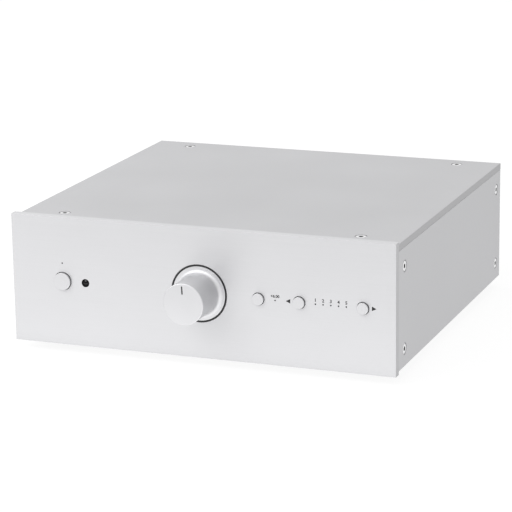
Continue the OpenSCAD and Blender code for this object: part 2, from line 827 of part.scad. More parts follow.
module case_screws() {
    color(zinc) from_panel() at_case_screws() translate([0, 0, -head_sink]) csk_screw();
}

module panel_screws() {
    color(zinc) from_panel() at_panel_screws() pan_screw(panel_screw_l);
}

module feet() {
    color(black) from_panel() at_feet() translate([0, 0, -stand_h]) difference() {
        cylinder(d1 = foot_tip_d, d2 = foot_d, h = stand_h + body_rise);
        translate([0, 0, -1]) cylinder(d = pan_d + 2 * foot_head_gap, h = foot_recess + 1);
        cylinder(r = clear_r, h = stand_h + body_rise + 1);
    }
}

module foot_screws() {
    color(zinc) from_panel() at_feet() translate([0, 0, foot_recess - stand_h])
        rotate([180, 0, 0]) pan_screw(foot_screw_l);
}

// Half section of the knob, with its axis at u = 0 and the panel's face at v = 0
module knob_section() {
    difference() {
        polygon([
            [0, knob_flange_t], [knob_flange_r, knob_flange_t], [knob_flange_r, 0],
            [knob_r + knob_fillet, 0], [knob_r + knob_fillet, -knob_fillet], [knob_r, -knob_fillet],
            [knob_r, knob_chamfer - knob_out], [knob_r - knob_chamfer, -knob_out], [0, -knob_out]
        ]);
        translate([knob_r + knob_fillet, -knob_fillet]) circle(r = knob_fillet);
    }
}

module volume_knob() {
    color(silver) from_panel() difference() {
        translate([0, 0, mid_z]) rotate([90, 0, 0]) rotate_extrude() mirror([0, 1]) knob_section();
        rod_y(shaft_r + push_gap, knob_flange_t - knob_bore_l, knob_flange_t + 1, 0, mid_z);
        rod_y(pocket_r, pocket_front, knob_flange_t + 1, 0, mid_z);
        translate([0, -grub_y, mid_z - knob_r - 1]) cylinder(r = tap_r, h = knob_r + 1);
        translate([0, 0, mid_z]) rotate([0, pointer_turn, 0])
            block([-pointer_w / 2, -knob_out - 1, knob_r - pointer_edge - pointer_l],
                [pointer_w / 2, pointer_depth - knob_out, knob_r - pointer_edge]);
    }
}

module knob_grub_screw() {
    color(steel) from_panel() translate([0, -grub_y, mid_z - shaft_r - thread_gap - grub_l]) difference() {
        cylinder(r = screw_r, h = grub_l);
        translate([0, 0, -1]) cylinder(d = grub_hex_af / cos(30), h = hex_depth + 1, $fn = 6);
    }
}

module knob_trim_ring() {
    color(black) from_panel() tube_y(recess_r, ring_in, ring_sink, recess_depth, 0, mid_z);
}

module volume_shaft() {
    color(steel) from_panel()
        rod_y(shaft_r, knob_flange_t - knob_bore_l + end_gap, pot_back - pot_wall - end_gap, 0, mid_z);
}

// Involute gear outline with its first tooth on +X
function involute(rb, r) = tan(acos(rb / r)) * 180 / PI - acos(rb / r);
function half_tooth(n, r) =
    let (rp = gear_m * n / 2, rb = rp * cos(gear_pa))
    90 / n - backlash / rp * 180 / PI + involute(rb, rp) - involute(rb, max(r, rb));
function gear_points(n) =
    let (
        rp = gear_m * n / 2, rb = rp * cos(gear_pa), root = rp - gear_root, tip = rp + gear_tip,
        start = max(root, rb), steps = 4,
        radii = concat([root], [for (k = [0 : steps]) start + (tip - start) * k / steps])
    )
    [for (i = [0 : n - 1], side = [-1, 1], k = [0 : steps + 1])
        let (r = radii[side < 0 ? k : steps + 1 - k], a = 360 * i / n + side * half_tooth(n, r))
        [r * cos(a), r * sin(a)]];

// A gear along the depth, turned by a, with a bore
module gear(n, y0, y1, x, a, bore_r) {
    translate([x, y0, mid_z]) rotate([-90, 0, 0]) difference() {
        rotate(a) linear_extrude(y1 - y0) polygon(gear_points(n));
        translate([0, 0, -1]) cylinder(r = bore_r, h = y1 - y0 + 2);
    }
}

module clutch_gear() {
    color(nylon) from_panel() gear(clutch_n, clutch_y, clutch_y + gear_w, 0, 0, shaft_r + push_gap);
}

module reduction_gear() {
    color(nylon) from_panel() {
        gear(pinion_n, clutch_y, wheel_y, axle_x, half_pitch, axle_r + run_gap);
        gear(wheel_n, wheel_y, wheel_y + gear_w, axle_x, 0, axle_r + run_gap);
    }
}

module reduction_axle() {
    color(steel) from_panel()
        rod_y(axle_r, case_in - gearbox_wall / 2, lid_y + gearbox_wall / 2, axle_x, mid_z);
}

module motor_pinion() {
    color(brass) from_panel()
        gear(pinion_n, wheel_y, wheel_y + gear_w, motor_x, half_pitch, axle_r + push_gap);
}

module motor_shaft() {
    color(steel) from_panel() rod_y(axle_r, wheel_y, lid_back + motor_shaft_in, motor_x, mid_z);
}

module motor_can() {
    color(zinc) from_panel() difference() {
        rod_y(motor_d / 2, lid_back, pot_back, motor_x, mid_z);
        rod_y(axle_r + run_gap, lid_back - 1, lid_back + motor_shaft_in + gear_play, motor_x, mid_z);
    }
}

module pot_bush() {
    color(brass) from_panel() difference() {
        union() {
            rod_y(bush_r, bush_front, case_in + eps, 0, mid_z);
            rod_y(bush_r + bush_lip, case_in, case_in + bush_flange_t, 0, mid_z);
        }
        rod_y(shaft_r + run_gap, bush_front - 1, case_in + bush_flange_t + 1, 0, mid_z);
    }
}

module pot_washer() {
    color(zinc) from_panel() tube_y(nut_r, bush_r + push_gap, panel_t - washer_t, panel_t, 0, mid_z);
}

module pot_nut() {
    color(zinc) from_panel() translate([0, nut_front, mid_z]) rotate([-90, 0, 0]) difference() {
        cylinder(r = nut_r, h = nut_t, $fn = 6);
        translate([0, 0, -1]) cylinder(r = bush_r + thread_gap, h = nut_t + 2);
    }
}

module at_gearbox_screws() {
    for (x = gearbox_screw_xs, z = gearbox_screw_zs)
        translate([x, lid_back, mid_z + z]) rotate([-90, 0, 0]) children();
}

module gearbox_case() {
    color(black) from_panel() difference() {
        union() {
            difference() {
                block([gearbox_x0, web_back, mid_z - gearbox_hz], [gearbox_x1, lid_y, mid_z + gearbox_hz]);
                block([gearbox_x0 + gearbox_wall, case_in, mid_z - gearbox_hz + gearbox_wall],
                    [gearbox_x1 - gearbox_wall, lid_y + 1, mid_z + gearbox_hz - gearbox_wall]);
            }
            for (x = gearbox_screw_xs, z = gearbox_screw_zs) rod_y(boss_r, web_back, lid_y, x, mid_z + z);
        }
        at_gearbox_screws() translate([0, 0, -gearbox_wall - gearbox_screw_grip - 1])
            cylinder(r = gearbox_screw_r + thread_gap, h = gearbox_screw_grip + 2);
        rod_y(bush_r + push_gap, web_back - 1, case_in + 1, 0, mid_z);
        rod_y(axle_r + push_gap, case_in - gearbox_wall / 2, case_in + 1, axle_x, mid_z);
    }
}

module gearbox_cover() {
    color(black) from_panel() difference() {
        block([gearbox_x0, lid_y, mid_z - gearbox_hz], [gearbox_x1, lid_back, mid_z + gearbox_hz]);
        at_gearbox_screws() translate([0, 0, -gearbox_wall - 1])
            cylinder(r = gearbox_screw_r + hole_gap, h = gearbox_wall + 2);
        rod_y(shaft_r + run_gap, lid_y - 1, lid_back + 1, 0, mid_z);
        rod_y(axle_r + push_gap, lid_y - 1, lid_y + gearbox_wall / 2, axle_x, mid_z);
        rod_y(axle_r + hole_gap, lid_y - 1, lid_back + 1, motor_x, mid_z);
    }
}

module gearbox_screws() {
    color(zinc) from_panel() at_gearbox_screws() pan_screw(
        gearbox_wall + gearbox_screw_grip, gearbox_screw_r, gearbox_head_r, gearbox_head_h, gearbox_hex_af);
}

module pot_body() {
    color(blue) from_panel() difference() {
        block([-pot_w / 2, lid_back, mid_z - pot_w / 2], [pot_w / 2, pot_back, mid_z + pot_w / 2]);
        rod_y(shaft_r + run_gap, lid_back - 1, pot_back - pot_wall, 0, mid_z);
        at_gearbox_screws() translate([0, 0, -1])
            cylinder(r = gearbox_head_r + hole_gap, h = gearbox_head_h + hole_gap + 1);
    }
}

module volume_board() {
    color(board_green) from_panel()
        block([gearbox_x0, pot_back, mid_z - gearbox_hz],
            [gearbox_x1, pot_back + board_t, mid_z + gearbox_hz]);
}

// A button with a collar behind the panel and a stem that ends inside its switch
module button(b) {
    r = b[1] - button_gap;
    stem_end = switch_y - button_travel - hole_gap;
    union() {
        translate([b[0], 0, mid_z]) rotate([90, 0, 0]) rotate_extrude() mirror([0, 1]) polygon([
            [0, collar_front + eps], [r, collar_front + eps], [r, button_chamfer - button_out],
            [r - button_chamfer, -button_out], [0, -button_out]
        ]);
        rod_y(b[1] + collar_lip, collar_front, collar_front + collar_t, b[0], mid_z);
        rod_y(stem_d / 2, collar_front, stem_end, b[0], mid_z);
        rod_y(tip_d / 2, collar_front, switch_y + switch_h / 2, b[0], mid_z);
    }
}

module power_button() {
    color(silver) from_panel() button(buttons[0]);
}

module gain_button() {
    color(silver) from_panel() button(buttons[1]);
}

module input_down_button() {
    color(silver) from_panel() button(buttons[2]);
}

module input_up_button() {
    color(silver) from_panel() button(buttons[3]);
}

module button_switches() {
    floor_y = switch_y + switch_h / 2 + button_travel + tip_gap;
    color(black) from_panel() for (b = buttons) difference() {
        block([b[0] - switch_w / 2, switch_y, mid_z - switch_w / 2],
            [b[0] + switch_w / 2, control_y, mid_z + switch_w / 2]);
        rod_y(tip_d / 2 + tip_gap, switch_y - 1, floor_y, b[0], mid_z);
    }
}

module remote_window() {
    color(smoked) from_panel() {
        rod_y(window_r, window_sink, panel_t + eps, window_x, mid_z);
        rod_y(window_r + window_lip, panel_t, web_back, window_x, mid_z);
    }
}

module remote_receiver() {
    color(black) from_panel() {
        block([window_x - receiver_w / 2, receiver_y, mid_z - receiver_w / 2],
            [window_x + receiver_w / 2, control_y, mid_z + receiver_w / 2]);
        rod_y(window_r, web_back + slip, receiver_y + eps, window_x, mid_z);
    }
}

// A prong in the panel and a thicker rod that ends at the diode
module light_guide(p) {
    rod_y(prong_d / 2, prong_sink, panel_t + eps, p[0], p[1]);
    rod_y(rod_r, panel_t, diode_y - slip, p[0], p[1]);
}

module status_light_guides() {
    color(clear) from_panel() for (p = status_lights) light_guide(p);
}

module input_light_guide() {
    color(clear) from_panel() {
        for (p = input_lights) light_guide(p);
        block([input_light_xs[0], guide_bar_y, mid_z - rod_r / 2],
            [input_light_xs[input_n - 1], guide_bar_y + guide_bar_t, mid_z + rod_r / 2]);
    }
}

module status_diodes() {
    color(nylon) from_panel() for (p = concat(status_lights, input_lights))
        rod_y(diode_d / 2, diode_y, control_y, p[0], p[1]);
}

module control_board(span) {
    difference() {
        block([span[0], control_y, control_z[0]], [span[1], control_back, control_z[1]]);
        for (p = control_standoff_spots) rod_y(clear_r, control_y - 1, control_back + 1, p[0], p[1]);
    }
}

module power_board() {
    color(board_green) from_panel() control_board(power_board_x);
}

module selector_board() {
    color(board_green) from_panel() control_board(selector_board_x);
}

// Hex standoff from z = 0, with a spigot below it and a tapped hole
module standoff(l, spigot) {
    difference() {
        union() {
            cylinder(d = standoff_af / cos(30), h = l, $fn = 6);
            translate([0, 0, -spigot]) cylinder(r = spigot_r, h = spigot + eps);
        }
        translate([0, 0, l - board_screw_l]) cylinder(r = tap_r, h = board_screw_l + 1);
    }
}

module board_standoffs() {
    color(brass) from_panel() {
        for (p = main_standoff_spots) translate([p[0], p[1], base_hi]) standoff(main_gap, base_t);
        for (p = control_standoff_spots) translate([p[0], web_back, p[1]]) rotate([-90, 0, 0])
            standoff(control_gap, frame_t);
    }
}

module board_screws() {
    color(zinc) from_panel() {
        for (p = main_standoff_spots) translate([p[0], p[1], main_hi]) pan_screw(board_screw_l);
        for (p = control_standoff_spots) translate([p[0], control_back, p[1]]) rotate([-90, 0, 0])
            pan_screw(board_screw_l);
    }
}

module main_board() {
    color(board_green) from_panel() difference() {
        block([-main_x, main_front, main_lo], [main_x, main_y1, main_hi]);
        for (p = main_standoff_spots) translate([p[0], p[1], main_lo - 1])
            cylinder(r = clear_r, h = board_t + 2);
    }
}

module relays() {
    color(nylon) from_panel() for (x = socket_xs)
        block([x - relay_w / 2, relay_y, main_hi], [x + relay_w / 2, relay_y + relay_l, main_hi + relay_h]);
}

module smoothing_capacitors() {
    color(blue) from_panel() for (i = [-1, 1], j = [0, 1])
        translate([caps_x + i * cap_pitch / 2, caps_y + j * cap_pitch, main_hi])
            cylinder(d = cap_d, h = cap_h);
}

// Two rows of dual amplifiers and one larger control chip
module audio_chips() {
    color(black) from_panel() {
        for (x = chip_xs, y = [caps_y, caps_y + cap_pitch])
            translate([x - chip[0] / 2, y - chip[1] / 2, main_hi]) cube(chip);
        translate([-control_chip[0] / 2, caps_y - control_chip[1] / 2, main_hi]) cube(control_chip);
    }
}

module voltage_regulators() {
    color(black) from_panel() for (i = [-1, 1])
        translate([caps_x + i * sink_w / 4 - regulator[0] / 2, sink_y - regulator[1], main_hi])
            cube(regulator);
}

// Finned heat sink with its flat face towards the regulators
module heat_sink() {
    color(black) from_panel() translate([caps_x - sink_w / 2, sink_y, main_hi]) {
        cube([sink_w, sink_wall, sink_h]);
        for (i = [0 : fin_n - 1]) translate([i * (sink_w - fin_t) / (fin_n - 1), sink_wall - eps, 0])
            cube([fin_t, sink_d - sink_wall, sink_h]);
    }
}

// A flat cable that leaves its board's header to the rear and bends down to the main board's header
module ribbon(x, y0) {
    bend_y = header_y - ribbon_t / 2 - ribbon_r;
    bend_z = mid_z - ribbon_t / 2 - ribbon_r;
    block([x - ribbon_w / 2, y0 + header_h, mid_z - ribbon_t / 2],
        [x + ribbon_w / 2, bend_y, mid_z + ribbon_t / 2]);
    translate([x - ribbon_w / 2, bend_y, bend_z]) rotate([0, 90, 0]) intersection() {
        difference() {
            cylinder(r = ribbon_r + ribbon_t, h = ribbon_w);
            translate([0, 0, -1]) cylinder(r = ribbon_r, h = ribbon_w + 2);
        }
        translate([-ribbon_r - ribbon_t, 0, 0]) cube([ribbon_r + ribbon_t, ribbon_r + ribbon_t, ribbon_w]);
    }
    block([x - ribbon_w / 2, header_y - ribbon_t / 2, main_hi + header_h],
        [x + ribbon_w / 2, header_y + ribbon_t / 2, bend_z]);
}

module ribbon_cables() {
    color(ribbon_grey) from_panel() for (r = ribbons) ribbon(r[0], r[1]);
}

module ribbon_headers() {
    color(black) from_panel() for (r = ribbons) {
        block([r[0] - header_w / 2, r[1], mid_z - header_h / 2],
            [r[0] + header_w / 2, r[1] + header_h, mid_z + header_h / 2]);
        block([r[0] - header_w / 2, header_y - header_h / 2, main_hi],
            [r[0] + header_w / 2, header_y + header_h / 2, main_hi + header_h]);
    }
}

module socket_housings() {
    color(black) from_panel() for (x = socket_xs) difference() {
        union() {
            block([x - housing_w / 2, housing_y, main_hi], [x + housing_w / 2, rear_in, housing_hi]);
            for (z = socket_zs) rod_y(collar_r, rear_in - eps, case_d + socket_collar, x, z);
        }
        for (z = socket_zs) rod_y(shell_r + push_gap, shell_front, case_d + socket_collar + 1, x, z);
        rod_y(tap_r, case_d - socket_screw_l - 1, rear_in + 1, x, socket_screw_z);
    }
}

module socket_shells() {
    color(gold) from_panel() for (x = socket_xs, z = socket_zs)
        tube_y(shell_r, shell_r - shell_wall, shell_front, shell_end, x, z);
}

module socket_inserts(z) {
    for (x = socket_xs) difference() {
        rod_y(insert_r, shell_front, insert_end, x, z);
        rod_y(contact_d / 2, insert_end - contact_l, insert_end + 1, x, z);
    }
}

module left_socket_inserts() {
    color(nylon) from_panel() socket_inserts(socket_zs[1]);
}

module right_socket_inserts() {
    color(red) from_panel() socket_inserts(socket_zs[0]);
}

module socket_screws() {
    color(zinc) from_panel() for (x = socket_xs) translate([x, case_d, socket_screw_z])
        rotate([-90, 0, 0]) pan_screw(socket_screw_l);
}

// The block and round nose that the inlet and the jack share
module jack_shape(x) {
    block([x - jack_w / 2, jack_y, main_hi], [x + jack_w / 2, rear_in, main_hi + jack_h]);
    rod_y(nose_r, rear_in - eps, nose_end, x, jack_z);
}

module power_inlet() {
    color(black) from_panel() difference() {
        jack_shape(inlet_cx);
        rod_y(inlet_bore_d / 2, inlet_floor, nose_end + 1, inlet_cx, jack_z);
        rod_y(inlet_pin_d / 2 + push_gap, inlet_floor - inlet_pin_root, inlet_floor + 1, inlet_cx, jack_z);
    }
}

module power_inlet_pin() {
    color(gold) from_panel()
        rod_y(inlet_pin_d / 2, inlet_floor - inlet_pin_root, nose_end - inlet_pin_sink, inlet_cx, jack_z);
}

module trigger_jack() {
    color(black) from_panel() difference() {
        jack_shape(trigger_cx);
        rod_y(trigger_bore_d / 2, nose_end - trigger_depth, nose_end + 1, trigger_cx, jack_z);
    }
}

front_panel();
top_cover();
left_side_plate();
right_side_plate();
base_plate();
rear_panel();
front_subframe();
press_nuts();
case_screws();
panel_screws();
feet();
foot_screws();
volume_knob();
knob_grub_screw();
knob_trim_ring();
volume_shaft();
clutch_gear();
pot_bush();
pot_washer();
pot_nut();
gearbox_case();
gearbox_cover();
gearbox_screws();
reduction_gear();
reduction_axle();
motor_pinion();
motor_shaft();
motor_can();
pot_body();
volume_board();
power_button();
gain_button();
input_down_button();
input_up_button();
button_switches();
remote_window();
remote_receiver();
status_light_guides();
input_light_guide();
status_diodes();
power_board();
selector_board();
board_standoffs();
board_screws();
main_board();
relays();
smoothing_capacitors();
audio_chips();
voltage_regulators();
heat_sink();
ribbon_cables();
ribbon_headers();
socket_housings();
socket_shells();
left_socket_inserts();
right_socket_inserts();
socket_screws();
power_inlet();
power_inlet_pin();
trigger_jack();
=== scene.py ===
"""Looks of the stereo preamplifier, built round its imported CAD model.

Lengths are in metres in the row frame, where the front faces -Y and +Z is up.
"""

import json
import math

import bmesh
import bpy
from mathutils import Matrix, Vector


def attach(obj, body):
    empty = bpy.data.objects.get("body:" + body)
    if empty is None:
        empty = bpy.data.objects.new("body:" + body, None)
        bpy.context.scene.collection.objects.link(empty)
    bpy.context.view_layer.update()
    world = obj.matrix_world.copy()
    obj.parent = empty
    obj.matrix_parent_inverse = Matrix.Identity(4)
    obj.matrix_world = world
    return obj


MM = 0.001

# The panel's front bottom edge in the row frame, in millimetres
PANEL_Y = -91.0
STAND_H = 4.8

# Places and sizes in millimetres, measured from the middle of that edge
CASE_D = 194.0
MID_Z = 33.6
POWER_X = -75.1
INPUT_X = 69.6
INPUT_PITCH = 4.0
SELECTOR_STEP = 16.5
GAIN_X = INPUT_X - 37.95
KNOB_OUT = 21.0
SOCKET_X = -8
SOCKET_PITCH = 20

# There are as many pairs of rear input sockets as inputs on the panel
INPUT_COUNT = 5

# Ink on the panel, in the knob's pointer groove and over the rear sockets, in millimetres
INK = 0.02
INPUT_NUMBER_Z = 34.77
INPUT_NUMBER_H = 1.75
GAIN_NUMBER_X = GAIN_X + 8.9
GAIN_NUMBER_Z = 34.97
GAIN_NUMBER_H = 1.55
SOCKET_NUMBER_Z = 51.0
SOCKET_NUMBER_H = 2.4
ARROW_STEP = 22.25
ARROW_Z = MID_Z + 0.24
ARROW_TIP = 1.2
ARROW_TAIL = 1.15
ARROW_HALF_H = 1.15
ARROW_ROUND = 0.06
POINTER_HALF_W = 0.32
POINTER_IN = 5.13
POINTER_OUT = 9.17
POINTER_SINK = 0.1
POINTER_T = 0.2
POINTER_ROUND = 0.1

# The pointer's lean to the left at rest
POINTER_LEAN = math.radians(3)

# How much wider the numerals' strokes are than the font's, in parts of the font's size
INPUT_NUMBER_BOLD = 0.025
GAIN_NUMBER_BOLD = 0.03

# The painted highlight spot and painted reflection arc on the eye behind the window, in millimetres
# from the window's middle
PAINTED_HIGHLIGHT_UP = 1.15
PAINTED_REFLECTION_ARC_UP = 0.8
PAINTED_REFLECTION_ARC_R = 1.3
PAINTED_REFLECTION_ARC_HALF_W = 0.4

# Where the painted shade on the panel's side and top faces begins, and where the cover's darker
# machined edges begin, in metres in the row frame
PAINTED_SHADE_PANEL_SIDES = 102.89 * MM
PAINTED_SHADE_PANEL_TOP = 71.82 * MM
COVER_END = 102.3 * MM

# A faint blue cast of the anodised metal
COOL = (0.994, 0.994, 1.013)

# The bright plated screws
SCREW_COLOUR = (0.78, 0.78, 0.79)
SCREW_ROUGHNESS = 0.20

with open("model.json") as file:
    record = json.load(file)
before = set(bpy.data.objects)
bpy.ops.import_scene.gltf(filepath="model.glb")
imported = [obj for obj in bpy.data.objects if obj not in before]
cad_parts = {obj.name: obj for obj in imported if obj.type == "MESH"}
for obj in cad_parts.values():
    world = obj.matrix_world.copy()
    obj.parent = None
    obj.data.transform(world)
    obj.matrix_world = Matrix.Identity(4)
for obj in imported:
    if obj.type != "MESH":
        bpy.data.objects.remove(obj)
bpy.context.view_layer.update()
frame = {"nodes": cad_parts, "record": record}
nodes = frame["nodes"]
scene = bpy.context.scene


def at(x, y, z):
    """A point of the row frame, from millimetres off the middle of the panel's bottom edge."""
    return Vector((x, y + PANEL_Y, z + STAND_H)) * MM


def make_camera(azimuth, elevation, roll, distance, target, lens):
    a = math.radians(azimuth)
    e = math.radians(elevation)
    r = math.radians(roll)
    back = Vector((math.sin(a) * math.cos(e), -math.cos(a) * math.cos(e), math.sin(e)))
    right = (-back).cross(Vector((0, 0, 1))).normalized()
    up = right.cross(-back)
    turned_right = right * math.cos(r) + up * math.sin(r)
    turned_up = up * math.cos(r) - right * math.sin(r)
    data = bpy.data.cameras.new("camera")
    data.sensor_width = 36
    data.lens = lens
    data.clip_start = 0.05
    data.clip_end = 60
    camera = bpy.data.objects.new("camera", data)
    rotation = Matrix((turned_right, turned_up, back)).transposed().to_4x4()
    camera.matrix_world = Matrix.Translation(target + back * distance) @ rotation
    scene.collection.objects.link(camera)
    scene.camera = camera


make_camera(
    azimuth=21.094,
    elevation=14.905,
    roll=-0.836,
    distance=1.23743,
    target=at(-3.926, 90, 29.835),
    lens=162.503,
)


class Shader:
    """A material with one Principled shader and short names for the nodes that feed it."""

    def __init__(self, name, roughness, metallic=0.0, sockets=None):
        self.material = bpy.data.materials.new(name)
        self.material.use_nodes = True
        self.tree = self.material.node_tree
        self.bsdf = self.tree.nodes["Principled BSDF"]
        self.bsdf.inputs["Metallic"].default_value = metallic
        self.bsdf.inputs["Roughness"].default_value = roughness
        for socket, value in (sockets or {}).items():
            self.bsdf.inputs[socket].default_value = value

    def add(self, kind, **settings):
        node = self.tree.nodes.new("ShaderNode" + kind)
        for key, value in settings.items():
            setattr(node, key, value)
        return node

    def link(self, source, target):
        self.tree.links.new(source, target)

    def place(self, scale=(1, 1, 1)):
        """Object coordinates in metres, times a scale on each axis."""
        mapping = self.add("Mapping")
        mapping.inputs["Scale"].default_value = scale
        self.link(self.add("TexCoord").outputs["Object"], mapping.inputs["Vector"])
        return mapping.outputs["Vector"]

    def axes(self):
        """The object coordinates X, Y and Z, each by itself."""
        node = self.add("SeparateXYZ")
        self.link(self.add("TexCoord").outputs["Object"], node.inputs["Vector"])
        return node.outputs

    def noise(self, vector, scale, detail=3.0, roughness=0.55):
        node = self.add("TexNoise")
        node.inputs["Scale"].default_value = scale
        node.inputs["Detail"].default_value = detail
        node.inputs["Roughness"].default_value = roughness
        self.link(vector, node.inputs["Vector"])
        return node.outputs["Fac"]

    def spread(self, value, low, high, start=0.3, end=0.7):
        """The value's range from start to end, laid out between low and high."""
        node = self.add("MapRange")
        node.inputs["From Min"].default_value = start
        node.inputs["From Max"].default_value = end
        node.inputs["To Min"].default_value = low
        node.inputs["To Max"].default_value = high
        self.link(value, node.inputs["Value"])
        return node.outputs["Result"]

    def calc(self, operation, a, b=None):
        """A calculation on one value, or on a value and another value or number."""
        node = self.add("Math", operation=operation)
        self.link(a, node.inputs[0])
        if isinstance(b, (int, float)):
            node.inputs[1].default_value = b
        elif b is not None:
            self.link(b, node.inputs[1])
        return node.outputs["Value"]

    def radius(self, axes, x, z):
        """The distance from the line along Y through x and z."""
        dx = self.calc("SUBTRACT", axes["X"], x)
        dz = self.calc("SUBTRACT", axes["Z"], z)
        square = self.calc("ADD", self.calc("MULTIPLY", dx, dx), self.calc("MULTIPLY", dz, dz))
        return self.calc("POWER", square, 0.5)

    def mix(self, first, second, share):
        """The first value times its share, plus the second times what is left."""
        kept = self.calc("MULTIPLY", first, share)
        rest = self.calc("MULTIPLY", second, 1 - share)
        return self.calc("ADD", kept, rest)

    def blend(self, value, dark, light):
        node = self.add("Mix", data_type="RGBA")
        self.link(value, node.inputs["Factor"])
        node.inputs["A"].default_value = (*dark, 1)
        node.inputs["B"].default_value = (*light, 1)
        return node.outputs["Result"]

    def shade_past(self, colour, axis, start, shade):
        """The colour, darkened where the size of the object coordinate on an axis is past start."""
        size = self.calc("ABSOLUTE", self.axes()[axis])
        edge = self.add("Mix", data_type="RGBA", blend_type="MULTIPLY")
        self.link(self.spread(size, 0, 1, start, start + 0.1 * MM), edge.inputs["Factor"])
        self.link(colour, edge.inputs["A"])
        edge.inputs["B"].default_value = (shade, shade, shade, 1)
        return edge.outputs["Result"]

    def colour(self, value):
        self.link(value, self.bsdf.inputs["Base Color"])

    def rough(self, value):
        self.link(value, self.bsdf.inputs["Roughness"])

    def bump(self, height, depth):
        node = self.add("Bump")
        node.inputs["Strength"].default_value = 1.0
        node.inputs["Distance"].default_value = depth
        self.link(height, node.inputs["Height"])
        self.link(node.outputs["Normal"], self.bsdf.inputs["Normal"])


def grey(tone):
    return tuple(tone * c for c in COOL)


def scaled(colour, factor):
    return tuple(min(1, c * factor) for c in colour)


def brushed(name, tone, roughness, end, top):
    """Metal brushed along X, which stretches highlights across X.

    Its side faces past |x| = end and its top face past z = top are darker, which is painted shade.
    """
    s = Shader(name, roughness, 1.0, {"Anisotropic": 0.6})
    tangent = s.add("Tangent", direction_type="RADIAL", axis="X")
    s.link(tangent.outputs["Tangent"], s.bsdf.inputs["Tangent"])
    streaks = s.noise(s.place((26.0, 5200.0, 5200.0)), 1.0, 5.0, 0.6)
    cloud = s.noise(s.place(), 14.0, 2.0)
    mixed = s.spread(s.mix(streaks, cloud, 0.7), 0, 1)
    colour = s.blend(mixed, grey(tone * 0.96), grey(tone * 1.04))
    # Painted shade: the panel's side faces darken to 0.81 and its top face to 0.955 of the colour.
    s.colour(s.shade_past(s.shade_past(colour, "X", end, 0.81), "Z", top, 0.955))
    s.rough(s.spread(streaks, roughness - 0.05, roughness + 0.05))
    s.bump(streaks, 1.2e-6)
    return s.material


def blasted(name, tone, roughness, depth=1.5e-6, end=None):
    """Fine bead-blasted and anodised metal, with darker edges past |x| = end where it is given."""
    s = Shader(name, roughness, 1.0)
    grain = s.noise(s.place(), 5200.0, 2.0, 0.7)
    cloud = s.noise(s.place(), 18.0, 3.0)
    mixed = s.spread(s.mix(grain, cloud, 0.6), 0, 1)
    colour = s.blend(mixed, grey(tone * 0.95), grey(tone * 1.05))
    if end is not None:
        colour = s.shade_past(colour, "X", end, 0.83)
    s.colour(colour)
    s.rough(s.spread(cloud, roughness - 0.04, roughness + 0.04))
    s.bump(grain, depth)
    return s.material


def turned(name, tone, roughness, centres, pitch):
    """Lathe-turned metal: rings round the Y axis through each centre (x, z) and along the sides."""
    s = Shader(name, roughness, 1.0)
    axes = s.axes()
    radius = s.radius(axes, *centres[0])
    for x, z in centres[1:]:
        radius = s.calc("MINIMUM", radius, s.radius(axes, x, z))
    rings = s.add("TexNoise", noise_dimensions="1D")
    rings.inputs["Scale"].default_value = 1 / pitch
    rings.inputs["Detail"].default_value = 3
    s.link(s.calc("ADD", radius, s.calc("ADD", axes["Y"], 1.0)), rings.inputs["W"])
    cut = rings.outputs["Fac"]
    cloud = s.noise(s.place(), 60.0, 2.0)
    mixed = s.spread(s.mix(cut, cloud, 0.7), 0, 1)
    s.colour(s.blend(mixed, grey(tone * 0.96), grey(tone * 1.04)))
    s.rough(s.spread(cut, roughness - 0.05, roughness + 0.05))
    s.bump(cut, 1e-6)
    return s.material


def pitted(s, roughness):
    """The fine pits of a plated surface."""
    pits = s.noise(s.place(), 900.0, 4.0, 0.6)
    s.rough(s.spread(pits, roughness - 0.06, roughness + 0.08))
    s.bump(pits, 4e-6)


def plated(name, colour, roughness):
    """Plated steel or brass with fine pits and a slightly uneven sheen."""
    s = Shader(name, roughness, 1.0)
    cloud = s.noise(s.place(), 120.0, 2.0)
    s.colour(s.blend(s.spread(cloud, 0, 1), scaled(colour, 0.88), scaled(colour, 1.08)))
    pitted(s, roughness)
    return s.material


def screws_with_painted_socket_shade(name, colour, roughness, mesh):
    """Plated screws, with painted shade darkening them in their sockets below the mesh's outer
    side, top and bottom faces.
    """
    s = Shader(name, roughness, 1.0)
    axes = s.axes()
    outer = max(abs(v.co.x) for v in mesh.vertices)
    top = max(v.co.z for v in mesh.vertices)
    bottom = min(v.co.z for v in mesh.vertices)
    side_depth = s.spread(s.calc("ABSOLUTE", axes["X"]), outer, 0, 0, outer)
    top_depth = s.spread(axes["Z"], top, 0, 0, top)
    bottom_depth = s.calc("SUBTRACT", axes["Z"], bottom)
    depth = s.calc("MINIMUM", s.calc("MINIMUM", side_depth, top_depth), bottom_depth)
    painted_socket_shade = s.spread(depth, 0, 1, 0.1 * MM, 0.5 * MM)
    # Painted shade: the screws darken to 12 % of their colour deeper than 0.1 to 0.5 mm in their
    # sockets.
    s.colour(s.blend(painted_socket_shade, colour, scaled(colour, 0.12)))
    pitted(s, roughness)
    return s.material


def moulded(name, colour, roughness, scale=2600.0, depth=1.2e-5, sockets=None):
    """Moulded plastic or rubber with a fine spark-eroded texture."""
    s = Shader(name, roughness, 0.0, sockets)
    grain = s.noise(s.place(), scale, 2.0, 0.6)
    cloud = s.noise(s.place(), 90.0, 3.0)
    s.colour(s.blend(s.spread(cloud, 0, 1), scaled(colour, 0.85), scaled(colour, 1.18)))
    s.rough(s.spread(grain, roughness - 0.06, roughness + 0.08))
    s.bump(grain, depth)
    return s.material


